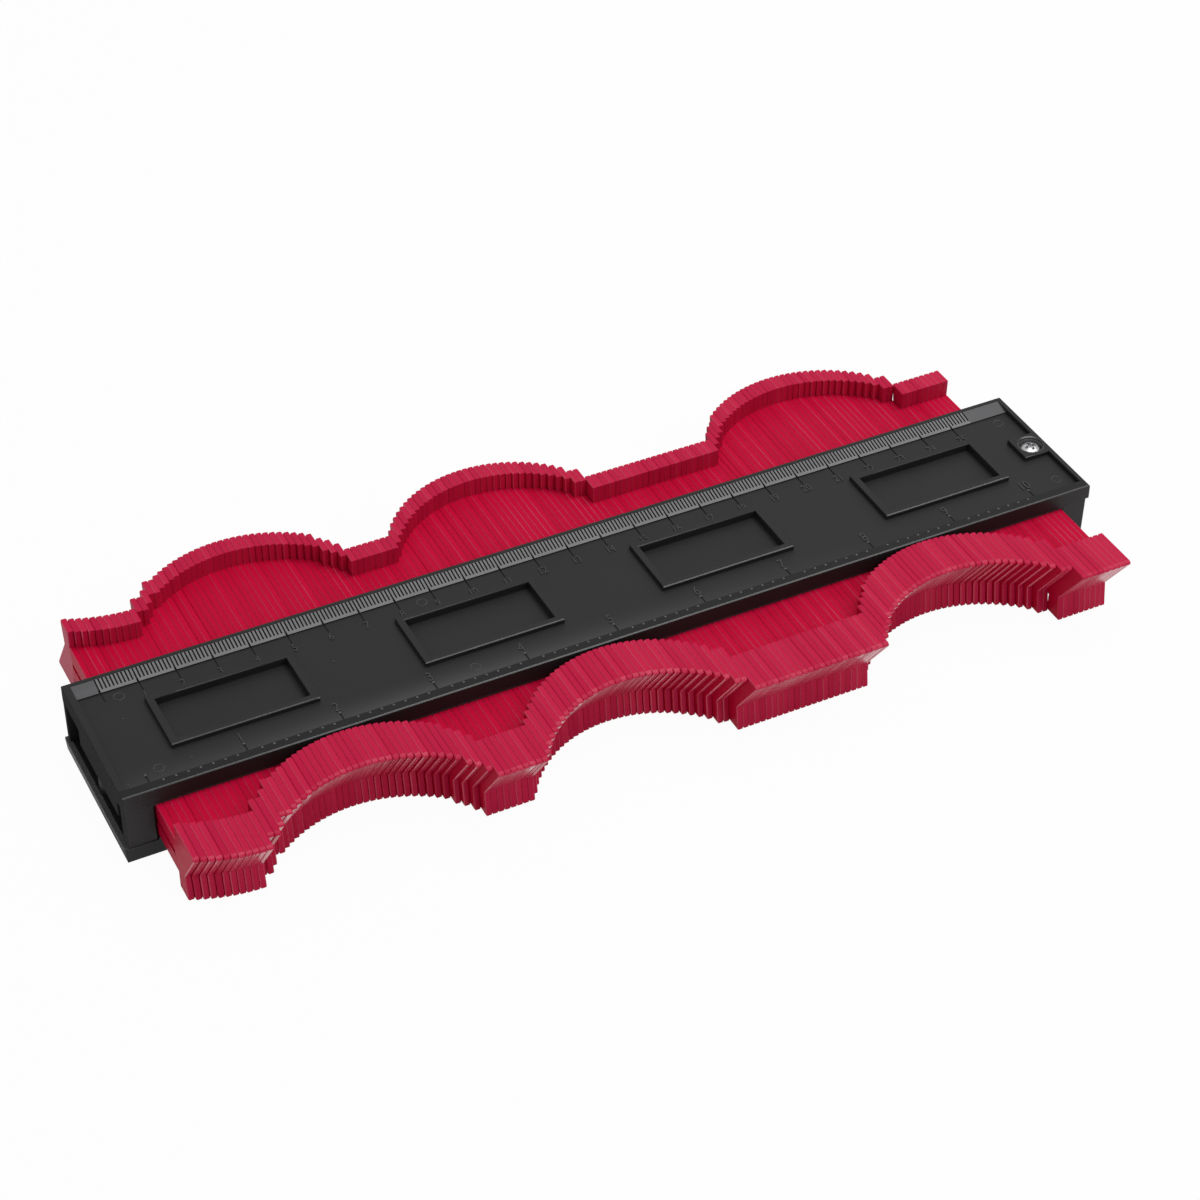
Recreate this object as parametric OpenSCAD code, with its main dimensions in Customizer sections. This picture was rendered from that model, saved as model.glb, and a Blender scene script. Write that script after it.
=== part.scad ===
// Contour gauge: a two-part case with a row of sliding fingers that copy a shape.
// X runs along the case, Y from the inch edge to the centimetre edge, Z up.
// The origin is the middle of the underside, on the plane that the case rests on.

/* [Case] */
// Length over the overhanging plate ends
body_l = 279; // [270:0.1:330]
// Width across the finger slot
body_w = 45.2; // [40:0.1:54]
// Height from face to face
body_h = 21.4; // [20:0.1:26]
// Height of the long lips that close the slot above and below the fingers
lip_h = 5.2; // [4.9:0.1:6.2]
// Distance from the nearer face to the seam at each end
seam_h = 4.5; // [4.2:0.1:4.8]
// Thickness of the plate over the friction strip
plate_t = 3.2; // [2.8:0.1:4]
// Thickness of the lips and of the post's side walls
wall = 2.2; // [1.6:0.1:3]
// Thickness of the post's wall beside the end finger
inner_wall = 1.5; // [1:0.1:2.2]
// How far a plate's bare end stands past the other half's post
overhang = 0.8; // [0.5:0.1:1.4]
// How far a plate's bare end leans out between its face and the seam
end_lean = 0.4; // [0.1:0.1:0.8]
// How far a post's long sides stand back from the lips
post_inset = 0.25; // [0.1:0.05:0.6]
// Length of the post at each end of the finger slot
post_l = 8; // [7.6:0.1:12]
// Thickness of the short wall that hangs across each post's open end
apron_t = 1.2; // [0.8:0.1:2]
// How far that wall stands back from the end of the plate
apron_back = 0.2; // [0.1:0.05:0.6]
// How far that wall hangs down from the seam
apron_drop = 5.9; // [3:0.1:6]
// Distance of that wall's two ends from the middle of the case: inch side, centimetre side
apron_side = [17, 11];
// Rounding of the case's upright corners
corner_r = 0.6; // [0.4:0.1:1.2]
// Bevel along the outer edges of each face
edge_bevel = 0.25; // [0.2:0.05:0.6]

/* [Face of each half] */
// Depth of the sunk panel below the rims
panel_drop = 1.3; // [0.8:0.1:1.6]
// Width of the rim at the post's end
rim_post = 2.1; // [1.6:0.1:3]
// Width of the rim at the overhanging end
rim_bare = 1.9; // [1.6:0.1:3]
// Width of the rim that carries the inch dots
rim_inch = 2.9; // [2.2:0.1:4]
// Width of the plain rim outside the centimetre band
rim_cm = 1.3; // [1.1:0.1:2.4]
// Width of the sloping centimetre band
band_w = 4.5; // [3.6:0.1:5.6]
// Height of the centimetre band's outer edge below the rims
band_step = 0.15; // [0.1:0.05:0.4]
// Height of the centimetre band's inner edge above the panel
band_rise = 0.3; // [0.1:0.05:0.4]
// Spacing of the raised frames
frame_pitch = 67.8; // [60:0.1:76]
// Length of a raised frame
frame_l = 39; // [30:0.5:50]
// Width of a raised frame
frame_w = 19.6; // [14:0.2:24]
// Width of the frame's ridge
ridge_w = 1.9; // [1.2:0.1:3]
// Depth of the frame's pocket below the ridge
pocket_drop = 2.2; // [1.7:0.1:2.3]

/* [Screws] */
// Distance of each screw from the end of its plate
screw_end = 4.8; // [4.6:0.1:5.4]
// Diameter of the screw's shank
screw_d = 2.9; // [2.5:0.1:3.2]
// Length of the screw under its head
screw_l = 11; // [8:0.5:14]
// Diameter of the screw's head
head_d = 5.9; // [5:0.1:6]
// Height of the screw's head
head_h = 2; // [1.6:0.1:2.2]
// Depth of the seat that the head sinks into
seat_depth = 2.3; // [2:0.1:2.6]
// Room between the head and the wall of its seat
seat_gap = 0.3; // [0.2:0.05:0.5]
// Width of the square boss round the screw's seat
boss_w = 9.2; // [8:0.1:11]
// Outer diameter of the post that takes the screw's thread
screw_post_d = 6.4; // [5.6:0.1:7]
// Room between the screw's shank and its hole
shank_gap = 0.08; // [0.05:0.01:0.15]
// Depth of the thread's hole past the end of the screw
thread_spare = 1; // [0.5:0.1:2]
// Radius of the rounded top of the screw's head
dome_r = 5; // [3.2:0.1:6]
// Depth of the cross recess in the screw's head
cross_depth = 1.1; // [0.8:0.1:1.4]
// Width of each slot of the cross recess
cross_w = 0.9; // [0.6:0.1:1.2]
// Length of each slot of the cross recess
cross_l = 3.4; // [2.6:0.1:4]

/* [Fingers] */
// Spacing of the fingers
finger_pitch = 1.695; // [1.68:0.005:1.75]
// Thickness of a finger
finger_t = 1.62; // [1.4:0.01:1.64]
// Least room between the row of fingers and each end wall
row_gap = 0.2; // [0.1:0.05:0.4]
// Room between a shank and the lips above and below it
slide_gap = 0.1; // [0.08:0.01:0.2]
// Distance from a finger's middle to the inner wall of each head
reach = 38.5; // [34:0.1:44]
// Length of a head on its short side
head_short = 4.9; // [4:0.1:7]
// Length of a head on its hooked side
head_hook = 13.5; // [11:0.1:16]
// Length of a head at the foot of its slope
head_foot = 4.3; // [3.5:0.1:6]
// Height of the foot of the slope above the finger's middle line
foot_z = 3.4; // [2:0.1:5]
// Blunting of the hook's tip
tip = 0.7; // [0.4:0.1:1.2]
// How far the heads stand back from the faces of the case
head_back = 0.3; // [0.2:0.05:0.7]
// Height of the groove along a shank's side
groove_h = 1.7; // [1:0.1:3]
// Depth of the groove along a shank's side
groove_d = 0.3; // [0.2:0.05:0.5]
// Distance of the groove's blind ends from the heads
groove_end = 1; // [0.5:0.1:4]
// Most groups that the fingers are shared among, each sliding as one
bank_max = 55; // [40:1:55]

/* [Friction strips] */
// Room between a strip and the shanks
strip_gap = 0.15; // [0.1:0.01:0.3]
// Room between a strip and the walls of its channel
strip_side = 0.3; // [0.2:0.05:0.6]

/* [Copied shape] */
// Middles of the three round shapes that the fingers hold
arc_x = [-82.5, -11.7, 85.2];
// Radii of the three round shapes
arc_r = [35.6, 33.1, 36.4];
// Offsets of the fingers at the tops of the three shapes
arc_top = [15.4, 15.2, 15.6];
// Half widths of the three shapes
arc_half = [22.6, 25.2, 24.5];
// Offsets of the fingers dragged along on each shape's left, from the shape outwards
left_drag = [[8.1, 5, 2.7, 2.9], [2.1, -0.5], [4.5, 2.8, 0.4]];
// Offsets of the fingers dragged along on each shape's right, from the shape outwards
right_drag = [[4.8, 3.1, 0.6], [1.9, 1.7], [4.8, 2.3, 2.2]];
// Offset of the fingers that nothing has pushed
flat_offset = -2.5; // [-6:0.1:6]
// Length of the curved run at the left end of the row
tail_l = 17.5; // [10:0.5:24]
// Offset of the first finger of that run
tail_start = 3; // [-4:0.1:6]
// Offset of the last finger of that run
tail_low = -1; // [-6:0.1:4]
// Room left between a head and the case at the end of its travel
stop_gap = 0.1; // [0.05:0.05:0.5]

/* [Hidden] */
$fn = 48;
eps = 0.01;
half_l = body_l / 2;
half_w = body_w / 2;
mid_z = body_h / 2;
post_x = half_l - overhang;
finger_gap = finger_pitch - finger_t;
slot_x = post_x - post_l;
finger_n = floor((2 * (slot_x - row_gap) + finger_gap) / finger_pitch);
row_l = finger_n * finger_pitch - finger_gap;
frame_n = floor((2 * slot_x - frame_l) / frame_pitch) + 1;
screw_x = half_l - screw_end;
panel_x0 = rim_post - post_x;
panel_x1 = half_l - rim_bare;
band_y0 = half_w - rim_cm - band_w;
band_y1 = half_w - rim_cm;
shank_h = body_h - 2 * (lip_h + slide_gap);
travel = reach - half_w - stop_gap;
bank_n = ceil(finger_n / bank_max);
bank_count = ceil(finger_n / bank_n);

function bank_name(b) = str("finger_bank_", b < 9 ? "0" : "", b + 1);

// Where each finger stands at rest

function finger_x(i) = i * finger_pitch - row_l / 2;

// Offset on the arc of shape a, at x from its middle
function arc_offset(a, x) = arc_top[a] - arc_r[a] + sqrt(arc_r[a] * arc_r[a] - x * x);

// Offset beside an arc: the dragged fingers one by one, and undef past the last of them
function drag_offset(list, beyond) = list[floor(beyond / finger_pitch)];

// Offset that shape a gives a finger at x from its middle, or undef where it doesn't reach
function shape_offset(a, x) =
    abs(x) <= arc_half[a] ? arc_offset(a, x)
    : drag_offset(x < 0 ? left_drag[a] : right_drag[a], abs(x) - arc_half[a]);

// Offset of a finger that no round shape reaches: the curved run at the left end, then the flat
function plain_offset(along) =
    along < tail_l ? tail_low + (tail_start - tail_low) * pow(1 - along / tail_l, 2) : flat_offset;

function set_offset(i) =
    let (
        x = finger_x(i) + finger_t / 2,
        held = [for (a = [0 : len(arc_x) - 1]) let (o = shape_offset(a, x - arc_x[a])) if (o != undef) o]
    )
    len(held) > 0 ? held[0] : plain_offset(i * finger_pitch);

// A finger can't stand past its stops
function rest_offset(i) = max(-travel, min(travel, set_offset(i)));

// Building blocks

module block(from, to) {
    translate(from) cube(to - from);
}

// Upright slab with round corners
module slab(x0, x1, y1, z0, z1) {
    translate([0, 0, z0]) {
        block([x0 + corner_r, -y1, 0], [x1 - corner_r, y1, z1 - z0]);
        block([x0, -y1 + corner_r, 0], [x1, y1 - corner_r, z1 - z0]);
        for (x = [x0 + corner_r, x1 - corner_r], y = [corner_r - y1, y1 - corner_r])
            translate([x, y, 0]) cylinder(r = corner_r, h = z1 - z0);
    }
}

// Solid from a profile in Y and Z, drawn out along X
module along_x(x0, x1) {
    translate([x0, 0, 0]) rotate([90, 0, 90]) linear_extrude(x1 - x0) children();
}

// Solid from a profile in X and Z, drawn out along Y
module along_y(y0, y1) {
    translate([0, y1, 0]) rotate([90, 0, 0]) linear_extrude(y1 - y0) children();
}

// Section from u0 to u1 with its two upper corners bevelled, its last side ending at top1
module bevelled_section(u0, u1, top1, z0, z1) {
    polygon([
        [u0, z0], [u1, z0], [top1, z1 - edge_bevel], [top1 - edge_bevel, z1],
        [u0 + edge_bevel, z1], [u0, z1 - edge_bevel]
    ]);
}

// The other half of the case is the same piece turned over about its short axis
module turned_over() {
    translate([0, 0, body_h]) rotate([0, 180, 0]) children();
}

// Upper half of the case

// Plate with its outer edges bevelled, and with its bare end leaning out
module half_plate() {
    bottom = body_h - seam_h;
    intersection() {
        slab(-post_x, half_l, half_w, bottom, body_h);
        along_x(-half_l, half_l) bevelled_section(-half_w, half_w, half_w, bottom, body_h);
        along_y(-half_w, half_w) bevelled_section(-post_x, half_l, half_l - end_lean, bottom, body_h);
    }
}

// Lips along both sides of the slot, as far as they stand below the plate
module slot_lips() {
    for (y = [-half_w, half_w - wall])
        block([-slot_x - inner_wall, y, body_h - lip_h], [slot_x, y + wall, body_h - seam_h + eps]);
}

// Hollow post at the left end, with the round post that takes the screw. It is open outwards
// below the short wall that hangs from the plate.
module end_post() {
    side = half_w - post_inset;
    top = body_h - seam_h;
    difference() {
        slab(-post_x, -slot_x, side, seam_h, top + eps);
        block([-half_l - eps, wall - side, seam_h - eps], [-slot_x - inner_wall, side - wall, top]);
    }
    translate([-screw_x, 0, seam_h]) cylinder(d = screw_post_d, h = top - seam_h + eps);
    block(
        [apron_back - post_x, -apron_side[0], top - apron_drop],
        [apron_back + apron_t - post_x, apron_side[1], top + eps]
    );
}

// Shallow channel over the fingers, for the friction strip
module strip_channel() {
    block([-slot_x, wall - half_w, body_h - lip_h - eps], [slot_x, half_w - wall, body_h - plate_t]);
}

function frame_x(k) = (k - (frame_n - 1) / 2) * frame_pitch;

// Sunk panel, with the frames and the screw boss left standing
module panel_cut() {
    floor_z = body_h - panel_drop;
    difference() {
        block([panel_x0, rim_inch - half_w, floor_z], [panel_x1, band_y0, body_h + eps]);
        for (k = [0 : frame_n - 1])
            translate([frame_x(k), 0, floor_z - eps])
                block([-frame_l / 2, -frame_w / 2, 0], [frame_l / 2, frame_w / 2, panel_drop + 3 * eps]);
        block([screw_x - boss_w / 2, -boss_w / 2, floor_z - eps], [half_l, boss_w / 2, body_h + 2 * eps]);
    }
}

// Sloping band that carries the centimetre marks
module band_cut() {
    low = body_h - panel_drop + band_rise;
    along_x(panel_x0, panel_x1)
        polygon([
            [band_y0 - eps, low], [band_y0, low], [band_y1, body_h - band_step],
            [band_y1, body_h + eps], [band_y0 - eps, body_h + eps]
        ]);
}

// Pockets inside the raised frames
module pocket_cuts() {
    for (k = [0 : frame_n - 1])
        translate([frame_x(k), 0, body_h - pocket_drop])
            block(
                [ridge_w - frame_l / 2, ridge_w - frame_w / 2, 0],
                [frame_l / 2 - ridge_w, frame_w / 2 - ridge_w, pocket_drop + eps]
            );
}

// Seat and through hole for the screw at the bare end
module screw_hole() {
    translate([screw_x, 0, body_h - seat_depth])
        cylinder(d = head_d + 2 * seat_gap, h = seat_depth + eps);
    translate([screw_x, 0, body_h - seam_h - eps])
        cylinder(d = screw_d + 2 * shank_gap, h = seam_h);
}

// Blind hole in the post for the other screw's thread
module thread_hole() {
    depth = screw_l + seat_depth - seam_h + thread_spare;
    translate([-screw_x, 0, seam_h - eps]) cylinder(d = screw_d + 2 * shank_gap, h = depth + eps);
}

module case_half() {
    difference() {
        union() {
            half_plate();
            slot_lips();
            end_post();
        }
        strip_channel();
        panel_cut();
        band_cut();
        pocket_cuts();
        screw_hole();
        thread_hole();
    }
}

module upper_shell() {
    color([0.19, 0.19, 0.2]) case_half();
}

module lower_shell() {
    color([0.17, 0.17, 0.18]) turned_over() case_half();
}

// Soft strip that fills its channel and bears on the shanks
module friction_strip() {
    block(
        [strip_side - slot_x, wall + strip_side - half_w, mid_z + shank_h / 2 + strip_gap],
        [slot_x - strip_side, half_w - wall - strip_side, body_h - plate_t]
    );
}

module upper_friction_strip() {
    color([0.35, 0.35, 0.37]) friction_strip();
}

module lower_friction_strip() {
    color([0.35, 0.35, 0.37]) turned_over() friction_strip();
}

// Pan head screw, seated at the bare end of the upper half
module case_screw() {
    translate([screw_x, 0, body_h - seat_depth]) difference() {
        union() {
            intersection() {
                cylinder(d = head_d, h = head_h);
                translate([0, 0, head_h - dome_r]) sphere(r = dome_r);
            }
            translate([0, 0, -screw_l]) cylinder(d = screw_d, h = screw_l + eps);
        }
        for (turn = [0, 90])
            rotate(turn)
                block(
                    [-cross_l / 2, -cross_w / 2, head_h - cross_depth],
                    [cross_l / 2, cross_w / 2, head_h + eps]
                );
    }
}

module case_screws() {
    color([0.8, 0.8, 0.82]) {
        case_screw();
        turned_over() case_screw();
    }
}

// Sliding fingers

// One end of a finger's outline, from the shank's lower edge round the head to its upper edge
function head_outline() =
    let (
        shank = shank_h / 2,
        head = mid_z - head_back,
        short = reach + head_short,
        foot = reach + head_foot,
        hook = reach + head_hook
    ) [
        [-reach, -shank], [-reach, -head], [-short, -head], [-foot, -foot_z],
        [-hook, head - tip], [tip - hook, head], [-reach, head], [-reach, shank]
    ];

// A finger's two ends are the same outline, turned half a turn
module finger() {
    near = head_outline();
    far = [for (p = near) -p];
    groove_y = reach - groove_end;
    difference() {
        along_x(0, finger_t) polygon(concat(near, far));
        block([-eps, -groove_y, -groove_h / 2], [groove_d, groove_y, groove_h / 2]);
    }
}

// Neighbouring fingers that slide together, each at its own rest place
module finger_bank(b) {
    first = b * bank_n;
    last = min(first + bank_n, finger_n) - 1;
    color([0.78, 0.05, 0.2])
        for (i = [first : last])
            translate([finger_x(i), rest_offset(i), mid_z]) finger();
}

upper_shell();
lower_shell();
upper_friction_strip();
lower_friction_strip();
case_screws();
for (b = [0 : bank_count - 1])
    finger_bank(b);
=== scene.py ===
# %% [markdown]
# # A contour gauge
# The real thing is a flat black case, moulded in two equal halves, with a row of thin crimson
# fingers that slide through it and hold the outline they were pressed against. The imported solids
# already have the right sizes and joints. This lesson dresses them: soft edges, a ruled scale with
# numbers, moulding marks, and finishes that behave like plastic, zinc and felt.

# %% Load the frame
import math

import bmesh
import bpy
from mathutils import Matrix, Vector


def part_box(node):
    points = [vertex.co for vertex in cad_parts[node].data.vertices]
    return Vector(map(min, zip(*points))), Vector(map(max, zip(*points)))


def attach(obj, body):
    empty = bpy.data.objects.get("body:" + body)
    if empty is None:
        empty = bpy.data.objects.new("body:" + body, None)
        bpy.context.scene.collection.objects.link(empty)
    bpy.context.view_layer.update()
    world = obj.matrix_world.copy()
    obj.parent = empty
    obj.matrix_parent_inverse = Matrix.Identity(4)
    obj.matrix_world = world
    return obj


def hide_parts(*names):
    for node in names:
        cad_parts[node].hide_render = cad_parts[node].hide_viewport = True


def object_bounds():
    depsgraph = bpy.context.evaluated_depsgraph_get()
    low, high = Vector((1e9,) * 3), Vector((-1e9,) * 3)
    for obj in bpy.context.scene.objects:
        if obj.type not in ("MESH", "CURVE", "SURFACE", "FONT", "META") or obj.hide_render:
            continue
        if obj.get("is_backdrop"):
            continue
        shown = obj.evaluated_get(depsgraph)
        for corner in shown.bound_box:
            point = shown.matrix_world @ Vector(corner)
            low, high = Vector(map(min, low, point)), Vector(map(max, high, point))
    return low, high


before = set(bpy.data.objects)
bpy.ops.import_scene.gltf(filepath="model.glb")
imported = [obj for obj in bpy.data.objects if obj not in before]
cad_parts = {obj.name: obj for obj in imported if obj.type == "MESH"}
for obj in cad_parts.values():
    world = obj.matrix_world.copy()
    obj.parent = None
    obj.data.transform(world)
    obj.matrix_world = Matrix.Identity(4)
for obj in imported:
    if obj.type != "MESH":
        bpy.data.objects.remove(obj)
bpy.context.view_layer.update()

# %% [markdown]
# An operator acts on everything that is selected, and the solids come in selected. So each piece
# starts with everything let go, and then only that piece is picked. In edit mode the parts of a
# mesh are picked by their place, as one would click on them.

# %% Helpers for picking
MM = 0.001


def alone(obj):
    bpy.ops.object.select_all(action="DESELECT")
    obj.select_set(True)
    bpy.context.view_layer.objects.active = obj
    return obj


def choose(obj, kind, test):
    bpy.ops.mesh.select_mode(type={"verts": "VERT", "edges": "EDGE", "faces": "FACE"}[kind])
    bpy.ops.mesh.select_all(action="DESELECT")
    mesh = bmesh.from_edit_mesh(obj.data)
    picked = [part for part in getattr(mesh, kind) if test(part)]
    for part in picked:
        part.select_set(True)
    mesh.select_flush_mode()
    bmesh.update_edit_mesh(obj.data)
    return len(picked)


def named(name):
    obj = bpy.context.view_layer.objects.active
    obj.name = name
    obj.data.name = name
    return obj


def settle(obj):
    alone(obj)
    bpy.ops.object.transform_apply(location=True, rotation=True, scale=True)
    return obj


def apply_modifiers(obj):
    alone(obj)
    for name in [m.name for m in obj.modifiers]:
        bpy.ops.object.modifier_apply(modifier=name)
    return obj


def twin(obj, name):
    alone(obj)
    bpy.ops.object.duplicate()
    return named(name)


print("helpers ready")

# %% [markdown]
# The photograph was taken from the left front and above, with a long lens. The camera's place and
# lens were worked out from the centimetre marks, whose spacing is known, and from the outline of
# the case, so they are plain numbers here.

# %% Camera
eye = Vector((-263.13, -508.37, 499.45)) * MM
forward = Vector((0.35171, 0.67748, -0.64600)).normalized()
right = Vector((0.89189, -0.45211, 0.01144))
right = (right - forward * right.dot(forward)).normalized()
up = right.cross(forward)

bpy.ops.object.select_all(action="DESELECT")
bpy.ops.object.camera_add()
camera = bpy.context.view_layer.objects.active
camera.name = "photo_camera"
camera.matrix_world = Matrix.Translation(eye) @ Matrix((right, up, -forward)).transposed().to_4x4()
camera.data.lens = 85.76
camera.data.sensor_width = 36
camera.data.clip_start = 0.01
bpy.context.scene.camera = camera
print("camera at", [round(v, 3) for v in eye])

# %% [markdown]
# Shader maths reads best as plain expressions. This small class wraps a socket, so that adding or
# comparing two signals adds the Math node that does it. Any other node comes from the one method
# called node, which sets the node's settings first and then its sockets.

# %% Signals


class Signal:
    def __init__(self, socket):
        self.socket = socket
        self.tree = socket.id_data

    def node(self, kind, settings, sockets, output=0):
        made = self.tree.nodes.new(kind)
        for name, value in settings.items():
            setattr(made, name, value)
        for name, value in sockets.items():
            if isinstance(value, Signal):
                self.tree.links.new(value.socket, made.inputs[name])
            else:
                made.inputs[name].default_value = value
        return Signal(made.outputs[output])

    def other(self, output):
        return Signal(self.socket.node.outputs[output])

    def math(self, operation, a, b=0.0):
        return self.node("ShaderNodeMath", {"operation": operation}, {0: a, 1: b})

    def __add__(self, b):
        return self.math("ADD", self, b)

    def __radd__(self, a):
        return self.math("ADD", a, self)

    def __sub__(self, b):
        return self.math("SUBTRACT", self, b)

    def __rsub__(self, a):
        return self.math("SUBTRACT", a, self)

    def __mul__(self, b):
        return self.math("MULTIPLY", self, b)

    def __rmul__(self, a):
        return self.math("MULTIPLY", a, self)

    def __truediv__(self, b):
        return self.math("DIVIDE", self, b)

    def __gt__(self, b):
        return self.math("GREATER_THAN", self, b)

    def __lt__(self, b):
        return self.math("LESS_THAN", self, b)

    def __abs__(self):
        return self.math("ABSOLUTE", self)

    def mix(self, a, b):
        return self.node("ShaderNodeMix", {"data_type": "RGBA"}, {0: self, 6: a, 7: b}, 2)

    def feed(self, shader, socket):
        self.tree.links.new(self.socket, shader.inputs[socket])


def finish(name, **sockets):
    material = bpy.data.materials.new(name)
    material.use_nodes = True
    shader = material.node_tree.nodes["Principled BSDF"]
    for socket, value in sockets.items():
        shader.inputs[socket.replace("_", " ")].default_value = value
    metres = Signal(material.node_tree.nodes.new("ShaderNodeTexCoord").outputs["Object"])
    place = metres.node("ShaderNodeVectorMath", {"operation": "SCALE"}, {0: metres, "Scale": 1000.0})
    return material, shader, place


def axes(place):
    x = place.node("ShaderNodeSeparateXYZ", {}, {0: place})
    return x, x.other(1), x.other(2)


def noise(place, scale, detail=2.0, stretch=(1.0, 1.0, 1.0)):
    at = place.node("ShaderNodeMapping", {}, {"Vector": place, "Scale": stretch})
    return at.node("ShaderNodeTexNoise", {}, {"Vector": at, "Scale": scale, "Detail": detail})


def rough_skin(shader, height, strength, depth_mm):
    bump = height.node(
        "ShaderNodeBump", {}, {"Height": height, "Strength": strength, "Distance": depth_mm * MM}
    )
    bump.feed(shader, "Normal")


print("signals ready")

# %% [markdown]
# The case is black plastic with a fine matt grain. In the photograph the sloping band with the
# millimetre marks looks much lighter than the panel, because its smoother skin faces the lamps, so
# it gets a lighter grey, which is a painted sheen. The band is found by its place: across the case,
# and near its own plane, so that the floors of the slots stay black. Both halves share the rules
# below, because heights are taken from the middle of the case. The ribs between the marks get a
# paler painted sheen than the blank ends, for the highlights on their edges.

# %% Painted sheen of the ruled band
RIM_Z = 21.4
MID_Z = RIM_Z / 2
PANEL_Z = 20.1
SEAM_Z = 16.9
BAND_Y = (16.8, 21.3)
BAND_Z = (20.4 - MID_Z, 21.25 - MID_Z)
BAND_SLOPE = (BAND_Z[1] - BAND_Z[0]) / (BAND_Y[1] - BAND_Y[0])
BAND_EDGE = 0.02
BAND_SKIN = 0.06
TICKS = (-130.6, 125.9)


def band_place(y, away):
    plane = (y - BAND_Y[0]) * BAND_SLOPE + BAND_Z[0]
    between = (y > BAND_Y[0] + BAND_EDGE) * (y < BAND_Y[1] - BAND_EDGE)
    return between * (abs(away - plane) < BAND_SKIN)


# Painted sheen: a lighter grey on the blank ends of the band, and paler still on the ribs.
def band_tone(along, flow):
    blank = flow.mix((0.08, 0.08, 0.084, 1), (0.12, 0.12, 0.124, 1))
    ribbed = flow.mix((0.16, 0.16, 0.165, 1), (0.22, 0.22, 0.226, 1))
    ruled = (along > TICKS[0]) * (along < TICKS[1])
    return ruled.mix(blank, ribbed)


print("ruled band: slope", round(BAND_SLOPE, 3))

# %% [markdown]
# The rest of the case isn't evenly black either. The rim with the inch dots is darker than the
# panel, which is painted shade, and the panel grows paler towards the foot of that rim, most of all
# left of the middle, which is a painted sheen. The long lips over the fingers, and the part of the
# ledges that is inside the case, are left without the paler tone, as painted shade.

# %% Painted shade on the rim and lips, painted sheen on the panel's foot
SKIN = 0.05
SEAM_AWAY = SEAM_Z - MID_Z
SEAM_SKIN = 0.1
LEDGE_X = 138.1
INCH_RIM_Y = -19.6
FOOT_Y = (-11.0, -18.6)
FOOT_X = (-50.0, 130.0)
LIP_Y = -22.3
LIP_FADE = 16.0
# Pale tone: real wear on the panel and edges, painted light on the other finishes.
PALE_WEAR_AND_LIGHT_TONE = (0.2, 0.2, 0.205, 1)
# Painted shade of the inch rim, and painted sheen of the panel's foot.
RIM_SHADE_TONE = (0.003, 0.003, 0.0032, 1)
FOOT_SHEEN_TONE = (0.06, 0.06, 0.062, 1)


# Zero on the long lips and on the ledges inside the case: there the paler tone is left out, as
# painted shade.
def touched(x, y, away):
    inside = (abs(x) < LEDGE_X) * (away < SEAM_AWAY + SEAM_SKIN) * (away > SEAM_AWAY - SEAM_SKIN)
    over_row = x.math("MINIMUM", (LEDGE_X - abs(x)) / LIP_FADE, 1.0)
    on_lip = (y < LIP_Y) * (away > SEAM_AWAY + SKIN) * over_row
    return (1 - inside) * (1 - on_lip)


# Share of the painted sheen on the panel towards the foot of the inch rim.
def foot_share(along, y, away):
    on_panel = (abs(away - (PANEL_Z - MID_Z)) < SKIN) * (y < FOOT_Y[0]) * (y > INCH_RIM_Y)
    rise = (FOOT_Y[0] - y) / (FOOT_Y[0] - FOOT_Y[1])
    near = along.math("MAXIMUM", 1 - abs(along - FOOT_X[0]) / FOOT_X[1], 0.0)
    return on_panel * rise * rise * near


print("panel's foot: paler from y", FOOT_Y[0], "to", FOOT_Y[1])

# %% [markdown]
# One recipe makes all the black finishes: a dark base with broad blotches, worn paler where the
# grain stands up. Edges and raised marks are rubbed in use, so they get the same plastic with a
# polished skin. The marks and dots are paler, which is a painted highlight. The end walls are
# coarse and matt and paler, which is painted light, and the long walls are a little paler than the
# panel, which is a painted reflection of the floor. The screw's seat and the outer strip of the
# ledges are painted much paler still, as painted light.

# %% Case plastic


def black_plastic(name, specular, rough, wear_and_painted_light):
    material, shader, place = finish(name, Specular_IOR_Level=specular)
    x, y, z = axes(place)
    away = abs(z - MID_Z)
    along = x * z.math("SIGN", z - MID_Z)
    blotch = noise(place, 0.06, 4.0)
    grain = noise(place, 2.6, 3.0)
    flow = noise(place, 0.35, 2.0, (0.15, 1.0, 1.0))
    on_band = band_place(y, away)
    on_rim = (y < INCH_RIM_Y) * (away > RIM_Z - MID_Z - SKIN)
    black = blotch.mix((0.0095, 0.0095, 0.01, 1), (0.015, 0.015, 0.0156, 1))
    # Painted shade: the inch rim is darker than the panel.
    rim_shaded_black = on_rim.mix(black, RIM_SHADE_TONE)
    # Paler where the grain stands up: wear on the panel and edges, painted light on the marks, dots,
    # ends, walls, seat and ledges.
    paled = (wear_and_painted_light * grain * touched(x, y, away)).mix(rim_shaded_black, PALE_WEAR_AND_LIGHT_TONE)
    # Painted sheen: the panel is paler towards the foot of the inch rim.
    with_foot_sheen = foot_share(along, y, away).mix(paled, FOOT_SHEEN_TONE)
    # Painted sheen on the ruled band.
    on_band.mix(with_foot_sheen, band_tone(along, flow)).feed(shader, "Base Color")
    (rough + 0.12 * grain + 0.06 * blotch - 0.1 * on_band).feed(shader, "Roughness")
    rough_skin(shader, grain + 0.3 * flow, 0.35, 0.03)
    return material


case_plastic = black_plastic("case_plastic", 0.215, 0.44, 0.02)
case_edge = black_plastic("case_edge", 0.5, 0.22, 0.03)
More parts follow.
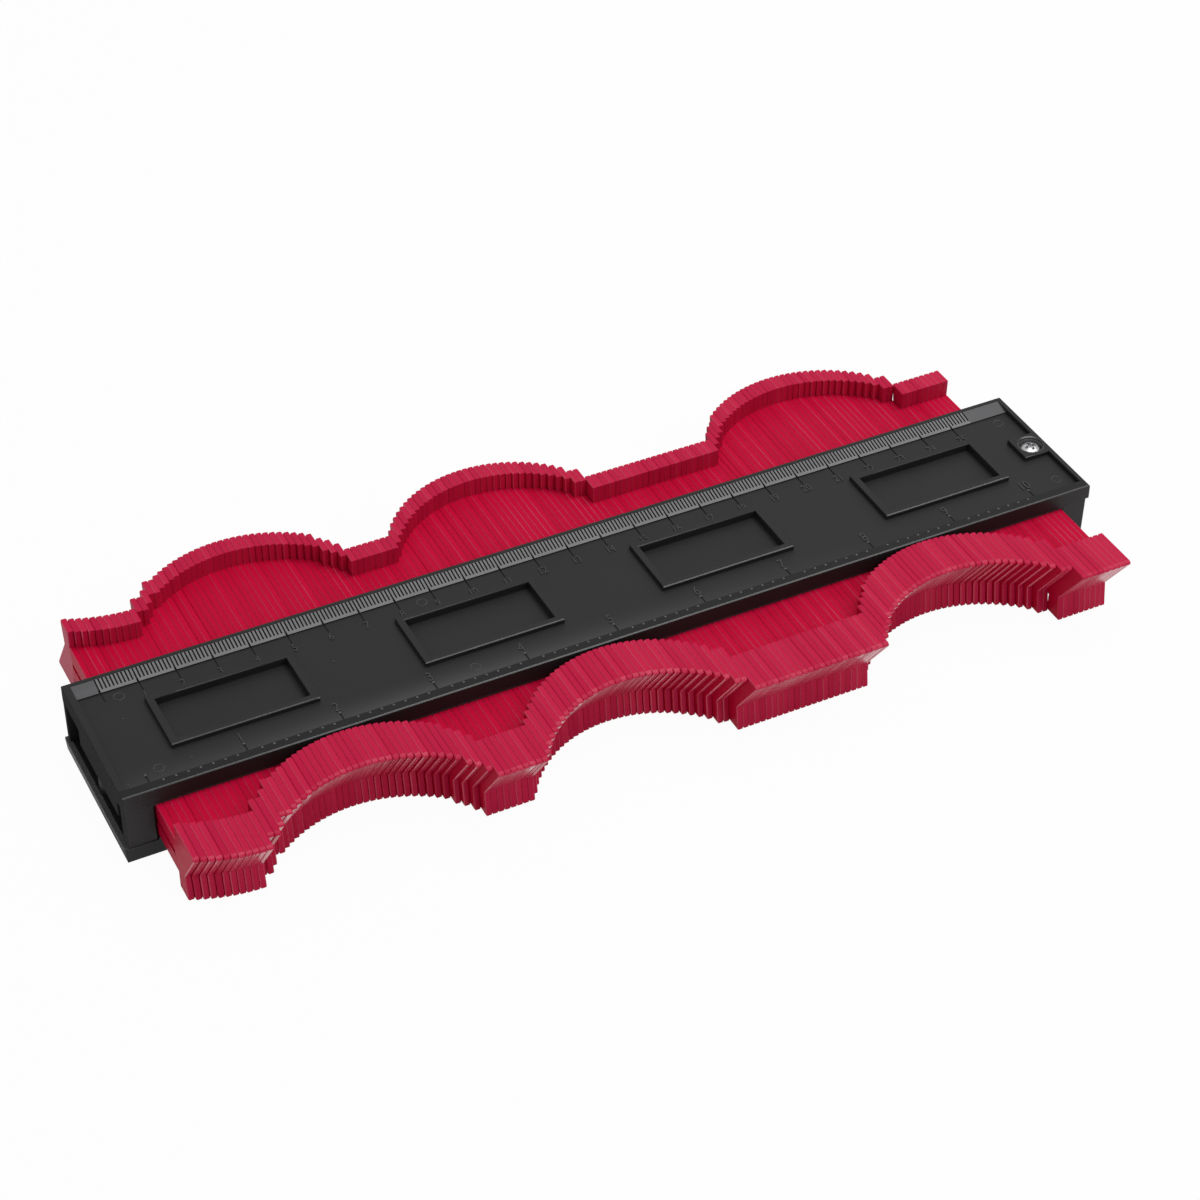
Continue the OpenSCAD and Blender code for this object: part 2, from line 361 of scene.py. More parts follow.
# The paler finishes below paint light: a painted highlight on marks and dots, painted light on the
# ends, seat and ledges, and a painted reflection of the floor on the long walls.
case_mark = black_plastic("case_mark", 0.3, 0.3, 0.3)
case_dot = black_plastic("case_dot", 0.4, 0.3, 0.75)
case_end = black_plastic("case_end", 0.0, 0.7, 0.45)
case_painted_light = black_plastic("case_painted_light", 0.1, 0.5, 1.2)
case_wall = black_plastic("case_wall", 0.2, 0.44, 0.2)
print("case plastic:", len(case_plastic.node_tree.nodes), "nodes")

# %% [markdown]
# The fingers are crimson plastic, glossier than the case. No two are quite alike in a real row, so
# each gets its own slight tone from its number along X. Thin flow lines run along the finger,
# because the plastic was pushed into the mould from one end. The heads come from polished faces of
# the mould and the shanks are rubbed dull by the felt, so an attribute of the finger's faces gives
# each face its gloss. The same attribute paints light into the colour: glossy faces get a pinker
# crimson, a painted sheen, and the edges that catch the light get a paler pink, a painted glint,
# some fingers' more than others'.

# %% Finger plastic
PITCH = 1.695
SLACK = 0.05
GLOSSY = 0.05
PAINTED_GLINT_RANGE = (0.35, 0.5)
row_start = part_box("finger_bank_01")[0].x / MM

finger_plastic, shader, place = finish("finger_plastic", Specular_IOR_Level=0.06, Coat_Roughness=0.22)
x = axes(place)[0]
number = place.math("FLOOR", (x - row_start + SLACK) / PITCH)
tone = number.node("ShaderNodeTexWhiteNoise", {"noise_dimensions": "1D"}, {"W": number})
gloss_and_painted_sheen = place.node("ShaderNodeAttribute", {"attribute_name": "gloss_and_painted_sheen"}, {}, "Fac")
flow = noise(place, 0.5, 3.0, (0.6, 0.12, 2.0))
speck = noise(place, 3.0, 2.0)
lively = 0.6 * tone + 0.4 * flow
# Glossy faces get the pinker crimson: a painted sheen.
dull = lively.mix((0.50, 0.0019, 0.034, 1), (0.60, 0.0030, 0.044, 1))
painted_sheen = lively.mix((0.48, 0.0085, 0.053, 1), (0.60, 0.0115, 0.067, 1))
crimson_with_painted_sheen = (gloss_and_painted_sheen > GLOSSY).mix(dull, painted_sheen)
# Faces in the glint range get a paler pink: a painted glint, stronger on some fingers.
paled = tone.mix((0.50, 0.008, 0.048, 1), (0.70, 0.058, 0.125, 1))
((gloss_and_painted_sheen > PAINTED_GLINT_RANGE[0]) * (gloss_and_painted_sheen < PAINTED_GLINT_RANGE[1])).mix(crimson_with_painted_sheen, paled).feed(shader, "Base Color")
(0.36 + 0.12 * flow + 0.06 * speck + 0.05 * tone).feed(shader, "Roughness")
(gloss_and_painted_sheen * (0.3 + 1.4 * tone)).feed(shader, "Coat Weight")
rough_skin(shader, flow + 0.25 * speck, 0.12, 0.03)
print("finger plastic:", len(finger_plastic.node_tree.nodes), "nodes")

# %% [markdown]
# The screws are zinc plated: bright, with fine turning rings and a little haze. The strips inside
# the case are felt, which is all fibres: a stretched noise gives their nap.

# %% Zinc and felt
zinc_steel, shader, place = finish("zinc_steel", Metallic=1.0)
haze = noise(place, 1.2, 3.0)
rings = noise(place, 6.0, 2.0, (1.0, 1.0, 0.2))
haze.mix((0.22, 0.22, 0.23, 1), (0.72, 0.72, 0.73, 1)).feed(shader, "Base Color")
(0.2 + 0.16 * haze + 0.08 * rings).feed(shader, "Roughness")
rough_skin(shader, rings + haze, 0.3, 0.06)

friction_felt, shader, place = finish("friction_felt", Specular_IOR_Level=0.2, Sheen_Weight=0.3)
fibre = noise(place, 3.5, 5.0, (1.0, 0.25, 1.0))
lump = noise(place, 0.4, 3.0)
fibre.mix((0.05, 0.05, 0.053, 1), (0.15, 0.15, 0.155, 1)).feed(shader, "Base Color")
(0.85 + 0.12 * lump).feed(shader, "Roughness")
rough_skin(shader, fibre + lump, 0.6, 0.15)
print("zinc and felt ready")

# %% [markdown]
# One finger is drawn flat, as its outline seen from the side, and then given its thickness. The
# outline starts as a filled ring of sixteen points, and each point is moved to its corner: the
# lower edge of the shank, round the hooked head, and back along the upper edge. The far end is the
# same outline turned half a turn.

# %% One finger
THICK = 1.675
SHANK = 5.4
REACH = 38.5
HEAD = MID_Z - 0.3
HEEL = (5.6, 4.5)
HEEL_TOP = -3.4
HOOK = 13.5
TIP_CUT = 0.7
near_end = [
    (-REACH, -SHANK), (-REACH, -HEAD), (-REACH - HEEL[0], -HEAD), (-REACH - HEEL[1], HEEL_TOP),
    (-REACH - HOOK, HEAD - TIP_CUT), (-REACH - HOOK + TIP_CUT, HEAD), (-REACH, HEAD), (-REACH, SHANK),
]
outline = near_end + [(-y, -z) for y, z in near_end]

bpy.ops.object.select_all(action="DESELECT")
bpy.ops.mesh.primitive_circle_add(vertices=len(outline), radius=MM, fill_type="NGON")
finger = named("finger")
bpy.ops.object.mode_set(mode="EDIT")
for number, (y, z) in enumerate(outline):
    choose(finger, "verts", lambda v: v.index == number)
    corner = bmesh.from_edit_mesh(finger.data).verts
    corner.ensure_lookup_table()
    bpy.ops.transform.translate(value=Vector((0, y * MM, z * MM)) - corner[number].co)
bpy.ops.mesh.select_all(action="SELECT")
bpy.ops.mesh.extrude_region_move(TRANSFORM_OT_translate={"value": (THICK * MM, 0, 0)})
bpy.ops.mesh.select_all(action="SELECT")
bpy.ops.mesh.normals_make_consistent(inside=False)
bpy.ops.object.mode_set(mode="OBJECT")
print("finger:", len(finger.data.vertices), "points, faces", len(finger.data.polygons))

# %% [markdown]
# A long blind groove runs along one side of the shank. A Boolean takes it out, and the same small
# function later cuts the scale into the case.

# %% Groove of the finger


def carve(obj, cutter):
    cut = obj.modifiers.new("cut", "BOOLEAN")
    cut.object = cutter
    cut.solver = "EXACT"
    apply_modifiers(obj)
    print("cut by", cutter.name, "faces now", len(obj.data.polygons))
    bpy.data.objects.remove(cutter)


GROOVE_DEEP, GROOVE_LONG, GROOVE_HIGH = 0.3, 37.5, 0.85
bpy.ops.object.select_all(action="DESELECT")
bpy.ops.mesh.primitive_cube_add(
    size=1, scale=(2 * GROOVE_DEEP * MM, 2 * GROOVE_LONG * MM, 2 * GROOVE_HIGH * MM)
)
carve(finger, settle(named("groove_cutter")))

# %% [markdown]
# A Bevel modifier softens the edges of the outline: on the real fingers those edges are the thin
# bright lines between neighbours. Each edge has its own weight, so one modifier makes a wide bevel
# at the tip, a narrow one round the heads and a very narrow one along the left edges of the shank.
# The bevel has one step only, because there are 154 fingers.

# %% Soft edges of the finger
NEAR = 0.1
BEVEL_WIDTH = 0.5
TIP_SOFT, UNDER_TIP_SOFT, HEAD_SOFT, SHANK_SOFT = 0.8, 0.3, 0.45, 0.2


def in_groove(point):
    return abs(point.z) < GROOVE_HIGH + NEAR and abs(point.y) < GROOVE_LONG + NEAR


def softness(a, b):
    if abs(a.x - b.x) > 1:
        at_tip = abs(a.y) > REACH + 10
        return (TIP_SOFT if abs(a.z) > HEAD - NEAR else UNDER_TIP_SOFT) if at_tip else 0.0
    if (in_groove(a) and in_groove(b)) or abs(a.x - b.x) > 0.01:
        return 0.0
    if min(abs(a.y), abs(b.y)) > REACH - 0.01:
        return HEAD_SOFT
    return SHANK_SOFT if a.x < THICK / 2 else 0.0


weights = finger.data.attributes.new("bevel_weight_edge", "FLOAT", "EDGE")
corners = [v.co / MM for v in finger.data.vertices]
for edge in finger.data.edges:
    weights.data[edge.index].value = softness(*(corners[v] for v in edge.vertices))
soft = sum(w.value > 0 for w in weights.data)
rim = finger.modifiers.new("rim", "BEVEL")
rim.limit_method = "WEIGHT"
rim.width = BEVEL_WIDTH * MM
rim.segments = 1
rim.use_clamp_overlap = False
apply_modifiers(finger)
print("bevelled edges:", soft, "faces now", len(finger.data.polygons))

# %% [markdown]
# Now each face of the finger is told how glossy it is. The sloping front of the hook is the
# glossiest. The left edges come next, then the tip, the right edges and the flat faces of the
# heads. The faces of the shank stay dull.

# %% Polish of the finger's faces
# The gloss of each face also picks its colour: every glossy face gets a painted sheen, and the left
# edges and the shank's left edges get a painted glint.
SLOPE_POLISH, TIP_POLISH, HEAD_POLISH = 0.6, 0.14, 0.09
SHANK_EDGE_POLISH, LEFT_EDGE_POLISH, RIGHT_EDGE_POLISH = 0.4, 0.45, 0.11


def face_polish(face):
    across, lift = abs(face.normal.x), abs(face.normal.z)
    bevelled = 0.1 < across < 0.98
    to_left = face.normal.x < 0
    if abs(face.center.y) < (REACH - 0.05) * MM:
        return SHANK_EDGE_POLISH if bevelled and to_left else 0.0
    if across < 0.1 and 0.3 < lift < 0.7:
        return SLOPE_POLISH
    if bevelled:
        return LEFT_EDGE_POLISH if to_left else RIGHT_EDGE_POLISH
    return TIP_POLISH if 0.7 < lift < 0.98 else HEAD_POLISH


gloss_and_painted_sheen = finger.data.attributes.new("gloss_and_painted_sheen", "FLOAT", "FACE")
for face in finger.data.polygons:
    gloss_and_painted_sheen.data[face.index].value = face_polish(face)
finger.data.materials.append(finger_plastic)
print("polished faces:", sum(p.value > 0 for p in gloss_and_painted_sheen.data))

# %% [markdown]
# Each sliding bank is a few fingers side by side, each at its own place along Y. The places are
# read from the solids: a finger's vertices share its slice of X, and the middle of their Y range is
# where the finger stands. The finger is copied there with its own mesh, and the copies of a bank
# are joined, because they slide as one.

# %% The row of fingers


def finger_places(solid):
    spans = {}
    for v in solid.data.vertices:
        number = math.floor((v.co.x / MM - row_start + SLACK) / PITCH)
        spans.setdefault(number, []).append(v.co.y)
    middles = {n: (min(ys) + max(ys)) / 2 for n, ys in sorted(spans.items())}
    return [(row_start * MM + n * PITCH * MM, middle) for n, middle in middles.items()]


bank_names = sorted(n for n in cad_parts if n.startswith("finger_bank_"))
finger_total = 0
for name in bank_names:
    copies = []
    for x, y in finger_places(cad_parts[name]):
        copy = twin(finger, name + "_finger")
        copy.location = (x, y, MID_Z * MM)
        copies.append(copy)
    bpy.ops.object.select_all(action="DESELECT")
    for copy in copies:
        copy.select_set(True)
    bpy.context.view_layer.objects.active = copies[0]
    if len(copies) > 1:
        bpy.ops.object.join()
    bank = settle(named(name + "_looks"))
    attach(bank, name)
    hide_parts(name)
    finger_total += len(copies)
bpy.data.objects.remove(finger)
print("fingers:", finger_total, "in", len(bank_names), "banks")

# %% [markdown]
# The upper half of the case starts as a copy of its solid, and so do the screws later on. The copy
# is loose triangles, so its doubled points are merged and its flat faces made whole.

# %% Upper half: a clean copy


def clean_copy(node, name, materials):
    copy = twin(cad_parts[node], name)
    copy.parent = None
    for key in list(copy.keys()):
        del copy[key]
    copy.data.materials.clear()
    for material in materials:
        copy.data.materials.append(material)
    bpy.ops.object.mode_set(mode="EDIT")
    bpy.ops.mesh.select_all(action="SELECT")
    bpy.ops.mesh.remove_doubles(threshold=0.001 * MM)
    bpy.ops.mesh.dissolve_limited(angle_limit=math.radians(0.5))
    bpy.ops.object.mode_set(mode="OBJECT")
    print(name, "has", len(copy.data.polygons), "whole faces")
    return copy


case_finishes = (case_plastic, case_edge, case_end, case_painted_light, case_wall)
PLAIN, EDGE, END, PAINTED_LIGHT, WALL = range(len(case_finishes))
upper = clean_copy("upper_shell", "upper_case", case_finishes)

# %% [markdown]
# Then edges are bevelled, because they catch the light in the photograph: the rims, the frames, the
# screw's boss and its round seat, and the lower edge of the plate, which is the ledge of the other
# half. These tests tell one kind of edge from another by its height, its length, how sharply its
# faces meet and where it is.

# %% Upper half: kinds of edges
SEAT = Vector((134.7, 0, RIM_Z))
SEAT_REACH = 3.6
SHORT = 1.2
SHARP = 70
SLANT = (30, 60)
PLATE_X, PLATE_Y = 139.4, 22.55
BAND_SIDE_Y = 21


def bend(edge):
    return math.degrees(edge.calc_face_angle(0))


def level(edge, z):
    return all(abs(v.co.z / MM - z) < 0.01 for v in edge.verts)


def by_seat(edge):
    return all((v.co / MM - SEAT).length < SEAT_REACH for v in edge.verts)


def long(edge):
    return edge.calc_length() > SHORT * MM


def outermost(edge):
    return all(abs(v.co.y) > PLATE_Y * MM or v.co.x > PLATE_X * MM for v in edge.verts)


def to_inch_side(edge):
    return any(f.normal.y < -0.6 for f in edge.link_faces)


def seat_rim(edge):
    return level(edge, RIM_Z) and by_seat(edge) and bend(edge) > SHARP


def ridge(edge):
    by_band = all(v.co.y > BAND_SIDE_Y * MM for v in edge.verts)
    apart = not by_seat(edge) and not by_band
    return level(edge, RIM_Z) and long(edge) and apart and bend(edge) > SHARP


def inch_ridge(edge):
    return ridge(edge) and to_inch_side(edge)


def outer_edge(edge):
    slanted = SLANT[0] < bend(edge) < SLANT[1]
    return level(edge, RIM_Z) and long(edge) and slanted and to_inch_side(edge)


def ledge_edge(edge):
    return level(edge, SEAM_Z) and outermost(edge) and bend(edge) > SLANT[1]


def inch_ledge(edge):
    return ledge_edge(edge) and to_inch_side(edge)


print("kinds of edges ready")

# %% [markdown]
# The widest bevels go to the edges that show a bright line in the photograph: those that face the
# inch side. Each row below gives the edges, the bevel's width and steps, and the finish of the new
# faces. The order matters, because a bevelled edge is no longer found by the next row.

# %% Upper half: soft edges
bevels = (
    ("seat", 0.5, 2, EDGE, seat_rim),
    ("ridges that face the inch side", 0.35, 3, EDGE, inch_ridge),
    ("other ridges", 0.12, 1, PLAIN, ridge),
    ("outer edges", 0.06, 1, EDGE, outer_edge),
    ("ledges", 0.25, 2, EDGE, inch_ledge),
    # The new faces of the other ledges take the end finish, which is paler as painted light.
    ("other ledges", 0.25, 2, END, ledge_edge),
)
alone(upper)
bpy.ops.object.mode_set(mode="EDIT")
for what, width, steps, slot, test in bevels:
    soft = choose(upper, "edges", test)
    bpy.ops.mesh.bevel(
        offset=width * MM, segments=steps, affect="EDGES", clamp_overlap=False, material=slot
    )
    print("upper case:", what, "from", soft, "edges")
bpy.ops.object.mode_set(mode="OBJECT")

# %% [markdown]
# The other finishes go to whole faces, again found by where they are and which way they face: the
# polished outer edges; the coarse end, paler as painted light; the screw's seat, the right end and
# the ledges, much paler as painted light; and the long walls, a little paler as a painted
# reflection of the floor.

# %% Upper half: finishes
END_X = 138
SEAT_WALL = (2.9, 3.4)


def polished_edge(face):
    above = face.calc_center_median().z > (RIM_Z - 0.3) * MM
    return face.normal.y < -0.5 and 0.6 < face.normal.z < 0.8 and above


def coarse_end(face):
    return face.normal.x < -0.6 and face.calc_center_median().x < -END_X * MM


# The seat's wall, the right end and the ledges: painted light.
def rubbed_bare(face):
    centre = face.calc_center_median() / MM
    from_screw = (centre - SEAT).to_2d().length
    seat_wall = SEAT_WALL[0] < from_screw < SEAT_WALL[1] and abs(face.normal.z) < 0.1
    end_face = face.normal.x > 0.95 and centre.x > END_X
    ledge = face.normal.z < -0.95 and abs(centre.z - SEAM_Z) < 0.01
    return seat_wall or end_face or ledge


def long_wall(face):
    return abs(face.normal.y) > 0.95 and abs(face.calc_center_median().y) > -LIP_Y * MM


alone(upper)
bpy.ops.object.mode_set(mode="EDIT")
for slot, test in ((EDGE, polished_edge), (END, coarse_end), (PAINTED_LIGHT, rubbed_bare), (WALL, long_wall)):
    print(case_finishes[slot].name, "for", choose(upper, "faces", test), "faces")
    upper.active_material_index = slot
    bpy.ops.object.material_slot_assign()
bpy.ops.object.mode_set(mode="OBJECT")
print("upper case: faces", len(upper.data.polygons))

# %% [markdown]
# The scale is cut into the case. The millimetre marks are slots in the sloping band, all from one
# small box: its floor is tilted like the band, an Array repeats it, and a Boolean cuts all the
# slots at once. The centimetre slots are a little wider and run on over the panel. The inch marks
# are shallow grooves beside the other rim. Each row below gives a cutter's name and width, its ends
# along Y, the heights of its floor there, the first slot's place along X, the step and the steps.

# %% Cut the scale
CM_START = -130.35
CM_COUNT = 25
MM_COUNT = 256
INCH_START = -130.4
INCH = 25.4
INCH_COUNT = 10
MM_DEEP, CM_DEEP, INCH_DEEP = 0.4, 0.25, 0.2
ABOVE = 23


def slot_box(name, width, y0, y1, z0, z1, top, first_x, step, count):
    bpy.ops.object.select_all(action="DESELECT")
    bpy.ops.mesh.primitive_cube_add(size=1)
    box = named(name)
    bpy.ops.object.mode_set(mode="EDIT")
    for ends in ((-1, -1), (-1, 1), (1, -1), (1, 1)):
        goal_y = (y0 if ends[0] < 0 else y1) * MM
        goal_z = (top if ends[1] > 0 else (z0 if ends[0] < 0 else z1)) * MM
        side, end = ends[0] / 2, ends[1] / 2
        choose(box, "verts", lambda v: abs(v.co.y - side) < 0.01 and abs(v.co.z - end) < 0.01)
        bpy.ops.transform.translate(value=(0, goal_y - side, goal_z - end))
    bpy.ops.mesh.select_all(action="SELECT")
    bpy.ops.transform.resize(value=(width * MM, 1, 1), center_override=(0, 0, 0))
    bpy.ops.transform.translate(value=(first_x * MM, 0, 0))
    bpy.ops.object.mode_set(mode="OBJECT")
    row = box.modifiers.new("row", "ARRAY")
    row.count = count
    row.use_relative_offset = False
    row.use_constant_offset = True
    row.constant_offset_displace = (step * MM, 0, 0)
    return apply_modifiers(box)


mm_ends = (BAND_Y[0] + 0.95, BAND_Y[1] - 0.05)
mm_floor = [MID_Z + BAND_Z[0] + (y - BAND_Y[0]) * BAND_SLOPE - MM_DEEP for y in mm_ends]
cm_ends = (BAND_Y[0] - 3.4, mm_ends[0] + 0.1)
cm_floor = [PANEL_Z - CM_DEEP] * 2
inch_ends = (-18.9, -16.3)
inch_floor = [PANEL_Z - INCH_DEEP] * 2
rows = (
    ("millimetre_cutter", 0.44, mm_ends, mm_floor, CM_START, 1.0, MM_COUNT),
    ("centimetre_cutter", 0.5, cm_ends, cm_floor, CM_START, 10.0, CM_COUNT),
    ("inch_cutter", 0.5, inch_ends, inch_floor, INCH_START, INCH, INCH_COUNT),
)
for name, width, ends, depths, first_x, step, count in rows:
    carve(upper, slot_box(name, width, *ends, *depths, ABOVE, first_x, step, count + 1))

# %% [markdown]
# The numbers stand up a little from the panel, in the colour of the case, a little paler as a
# painted highlight. Each is a text that is made a mesh before its place is applied. They read upright
# from the inch side.

# %% Numbers
CM_NUMBER_Y, CM_NUMBER_HIGH = 10.3, 2.8
INCH_NUMBER_Y, INCH_NUMBER_HIGH = -15.2, 3.5
DIGIT_HIGH = 0.73
SQUEEZE = 0.72


def number_mesh(text, x, y, height):
    bpy.ops.object.select_all(action="DESELECT")
    bpy.ops.object.text_add()
    words = bpy.context.view_layer.objects.active
    words.data.body = text
    words.data.align_x = "CENTER"
    words.data.size = height / DIGIT_HIGH * MM
    words.data.extrude = 0.2 * MM
    words.data.resolution_u = 3
    bpy.ops.object.convert(target="MESH")
    words = bpy.context.view_layer.objects.active
    words.scale = (SQUEEZE, 1, 1)
    words.location = (x * MM, y * MM, PANEL_Z * MM)
    return settle(words)


def joined(objects, name, material):
    bpy.ops.object.select_all(action="DESELECT")
    for obj in objects:
        obj.select_set(True)
    bpy.context.view_layer.objects.active = objects[0]
    bpy.ops.object.join()
    piece = named(name)
    piece.data.materials.clear()
    piece.data.materials.append(material)
    return piece


numbers = []
for n in range(1, CM_COUNT + 1):
    numbers.append(number_mesh(str(n), CM_START + 10 * n, CM_NUMBER_Y, CM_NUMBER_HIGH))
for n in range(1, INCH_COUNT + 1):
    numbers.append(number_mesh(str(n), INCH_START + INCH * n, INCH_NUMBER_Y, INCH_NUMBER_HIGH))
# The numbers' finish is paler than the case: a painted highlight.
upper_numbers = joined(numbers, "upper_numbers", case_mark)
print("numbers:", len(upper_numbers.data.polygons), "faces")

# %% [markdown]
# The dots along the inch rim, one for each eighth of an inch, are low domes. So are the ends of the
# inch marks and the specks that the mould left. The mould's pins left faint rings. All of them are
# paler than the case, as a painted highlight.

# %% Domes and rings
PIN_RADIUS = 1.35


def dome(name, x, y, z, radius, height):
    bpy.ops.object.select_all(action="DESELECT")
    bpy.ops.mesh.primitive_uv_sphere_add(segments=8, ring_count=6, radius=radius * MM)
    bump = named(name)
    bpy.ops.object.mode_set(mode="EDIT")
    bpy.ops.mesh.select_all(action="SELECT")
    bpy.ops.mesh.bisect(
        plane_co=(0, 0, -0.3 * radius * MM), plane_no=(0, 0, 1), clear_inner=True, use_fill=True
    )
    bpy.ops.mesh.select_all(action="SELECT")
    bpy.ops.transform.resize(value=(1, 1, height / radius), center_override=(0, 0, 0))
    bpy.ops.object.mode_set(mode="OBJECT")
    bump.location = (x * MM, y * MM, z * MM)
    return settle(bump)


def pin_ring(name, x, y, radius):
    bpy.ops.object.select_all(action="DESELECT")
    bpy.ops.mesh.primitive_torus_add(
        major_radius=radius * MM, minor_radius=0.13 * MM, major_segments=24, minor_segments=6
    )
    ring = named(name)
    bpy.ops.object.mode_set(mode="EDIT")
    bpy.ops.mesh.select_all(action="SELECT")
    bpy.ops.transform.resize(value=(1, 1, 0.6), center_override=(0, 0, 0))
    bpy.ops.object.mode_set(mode="OBJECT")
    ring.location = (x * MM, y * MM, PANEL_Z * MM)
    return settle(ring)


print("domes and rings ready")

# %% [markdown]
# Each kind of mark has its own place across the case, radius and height. An eighth that falls on a
# whole inch has no dot. Dots, rings and specks are joined and shaded smoothly.

# %% Dots and mould marks
DOT_Y, DOT_RADIUS, DOT_HIGH = -20.3, 0.34, 0.07
DOT_Z = RIM_Z - 0.02
INCH_END_Y, INCH_END_RADIUS, INCH_END_HIGH = -15.85, 0.4, 0.3
SPECK_RADIUS, SPECK_HIGH = 0.3, 0.22
pin_spots = (
    (-126.5, 13.9), (-126.5, -14.8), (-44.0, 13.9), (-42.2, -15.1), (133.0, 13.6), (133.4, -14.9),
)
speck_spots = ((-135.3, -17.2), (-135.1, -18.2), (-118.1, -14.8), (-73.5, 2.6), (-128.4, 5.7))

dots = []
for n in range(8 * INCH_COUNT + 1):
    if n % 8:
        x = INCH_START + INCH / 8 * n
        dots.append(dome("inch_dot", x, DOT_Y, DOT_Z, DOT_RADIUS, DOT_HIGH))
for n in range(INCH_COUNT + 1):
    x = INCH_START + INCH * n
    dots.append(dome("inch_end", x, INCH_END_Y, PANEL_Z, INCH_END_RADIUS, INCH_END_HIGH))
# The dots' finish is paler than the case: a painted highlight.
upper_dots = joined(dots, "upper_dots", case_dot)
marks = []
for x, y in pin_spots:
    marks.append(pin_ring("pin_mark", x, y, PIN_RADIUS))
for x, y in speck_spots:
    marks.append(dome("mould_speck", x, y, PANEL_Z, SPECK_RADIUS, SPECK_HIGH))
upper_marks = joined(marks, "upper_marks", case_mark)
for piece in (upper_dots, upper_marks):
    alone(piece)
    bpy.ops.object.shade_smooth_by_angle(angle=math.radians(50))
    print(piece.name, len(piece.data.polygons), "faces")

# %% [markdown]
# The other half of the case is the same moulding turned over. So every finished piece of the upper
# half is copied and turned half a turn about Y, through the middle of the case.

# %% Lower half


def turned_over(obj, name):
    copy = twin(obj, name)
    middle = Matrix.Translation((0, 0, MID_Z * MM))
    copy.matrix_world = middle @ Matrix.Rotation(math.pi, 4, "Y") @ middle.inverted()
    return settle(copy)


for piece in (upper, upper_numbers, upper_dots, upper_marks):
    lower = turned_over(piece, piece.name.replace("upper", "lower"))
    for obj in (piece, lower):
        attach(obj, "case")
    if piece is upper:
        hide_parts("upper_shell")
        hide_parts("lower_shell")
print("case pieces done")

# %% [markdown]
# The two screws are a clean copy of their solid too, so that the round heads can be shaded smoothly,
# with the rims of the heads and of their crosses softened.

# %% Screws
screws = clean_copy("case_screws", "case_screws_looks", (zinc_steel,))
edge = screws.modifiers.new("edge", "BEVEL")
edge.width = 0.08 * MM
edge.segments = 2
edge.limit_method = "ANGLE"
edge.angle_limit = math.radians(50)
apply_modifiers(screws)
bpy.ops.object.shade_smooth_by_angle(angle=math.radians(35))
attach(screws, "case")
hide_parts("case_screws")
print("screws:", len(screws.data.polygons), "faces")

# %% [markdown]
# The friction strips are felt, and felt isn't a hard block: its edges are rounded and its face
# swells a little between the ribs. A box of the solid's size is subdivided, its long edges are
# bevelled, and a cloud texture lifts its skin by a few hundredths of a millimetre.

# %% Friction strips
swell = bpy.data.textures.new("felt_swell", "CLOUDS")
swell.noise_scale = 6 * MM
for node in ("upper_friction_strip", "lower_friction_strip"):
    low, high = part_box(node)
    bpy.ops.object.select_all(action="DESELECT")
    bpy.ops.mesh.primitive_cube_add(size=1, location=(low + high) / 2, scale=high - low)
    strip = settle(named(node + "_felt"))
    bpy.ops.object.mode_set(mode="EDIT")
    choose(strip, "edges", lambda e: abs(e.verts[0].co.z - e.verts[1].co.z) < MM * 0.01)
    bpy.ops.mesh.bevel(offset=0.35 * MM, segments=2, affect="EDGES")
    choose(strip, "edges", lambda e: abs(e.verts[0].co.x - e.verts[1].co.x) > 100 * MM)
    bpy.ops.mesh.subdivide(number_cuts=60)
    bpy.ops.object.mode_set(mode="OBJECT")
    lift = strip.modifiers.new("lift", "DISPLACE")
    lift.texture = swell
    lift.strength = 0.08 * MM
    lift.mid_level = 0.8
    apply_modifiers(strip)
    bpy.ops.object.shade_smooth_by_angle(angle=math.radians(40))
    strip.data.materials.append(friction_felt)
    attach(strip, "case")
    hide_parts(node)
    print(node, len(strip.data.polygons), "faces")

# %% [markdown]
# The gauge lies on a pale floor in a white studio. The floor and the world show almost white to
# the camera and in reflections, but they light the gauge at a plain level, and the floor keeps a
# little of the shadow.

# %% Floor and world
WHITE = (1, 1, 1, 1)
FLOOR_SHOWN = 0.965
WORLD_LIGHT, WORLD_SHOWN = 0.42, 0.4


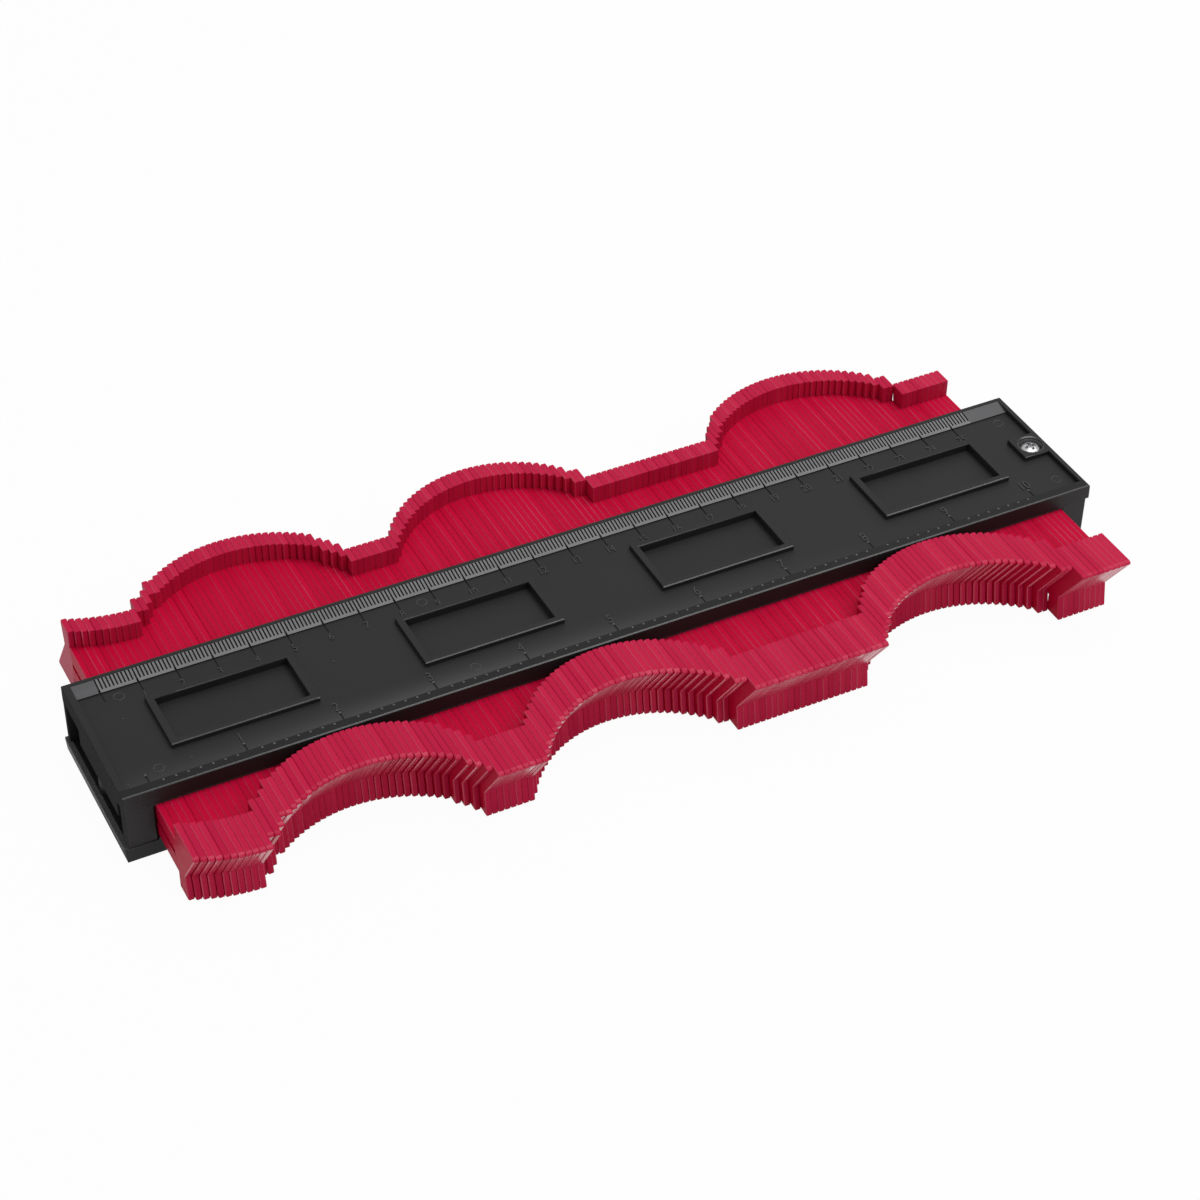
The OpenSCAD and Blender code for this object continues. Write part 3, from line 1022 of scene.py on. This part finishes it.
def seen_rays(nodes):
    camera_ray = Signal(nodes.new("ShaderNodeLightPath").outputs["Is Camera Ray"])
    glossy, through = camera_ray.other("Is Glossy Ray"), camera_ray.other("Is Transmission Ray")
    return camera_ray.math("MAXIMUM", camera_ray, glossy.math("MAXIMUM", glossy, through))


bpy.ops.object.select_all(action="DESELECT")
bpy.ops.mesh.primitive_plane_add(size=12)
floor = named("floor")
floor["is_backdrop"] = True
paper = bpy.data.materials.new("paper")
paper.use_nodes = True
nodes = paper.node_tree.nodes
nodes.remove(nodes["Principled BSDF"])
seen = seen_rays(nodes)
matt = seen.node("ShaderNodeBsdfDiffuse", {}, {"Color": (0.75, 0.75, 0.75, 1)})
glow = seen.node("ShaderNodeEmission", {}, {"Color": WHITE, "Strength": 1.0})
surface = seen.node("ShaderNodeMixShader", {}, {0: FLOOR_SHOWN * seen, 1: matt, 2: glow})
surface.feed(nodes["Material Output"], "Surface")
floor.data.materials.append(paper)

world = bpy.data.worlds.new("studio")
bpy.context.scene.world = world
world.use_nodes = True
nodes = world.node_tree.nodes
(WORLD_LIGHT + WORLD_SHOWN * seen_rays(nodes)).feed(nodes["Background"], "Strength")
nodes["Background"].inputs["Color"].default_value = WHITE
print("floor and world ready")

# %% [markdown]
# A long soft lamp high on the right gives the shadows that fall to the left inside the frames, and
# the bright lines on the edges that face the camera. A weak lamp at the right front fills them.
# Each row gives a lamp's name, its place and size in metres, and its power.

# %% Lamps
lamps = (
    ("key_softbox", (0.47, 0.08, 1.24), (0.4, 0.9), 8.2),
    ("front_fill", (0.56, -1.04, 1.09), (0.55, 0.55), 4),
)
for name, stand, size, power in lamps:
    bpy.ops.object.light_add(type="AREA", location=stand)
    lamp = bpy.context.view_layer.objects.active
    lamp.name = name
    lamp.data.shape = "RECTANGLE"
    lamp.data.size, lamp.data.size_y = size
    lamp.data.energy = power
    lamp.rotation_mode = "QUATERNION"
    lamp.rotation_quaternion = (-Vector(stand)).to_track_quat("-Z", "Y")
    print(name, "at", stand)

bpy.context.scene.view_settings.view_transform = "Standard"

# %% [markdown]
# Last, the box of the dressed gauge is printed. It should match the box of the solids, because
# looks never change the size of the part.

# %% Size and finish
low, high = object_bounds()
print("visual box in mm:", [round(1000 * v, 1) for v in high - low])
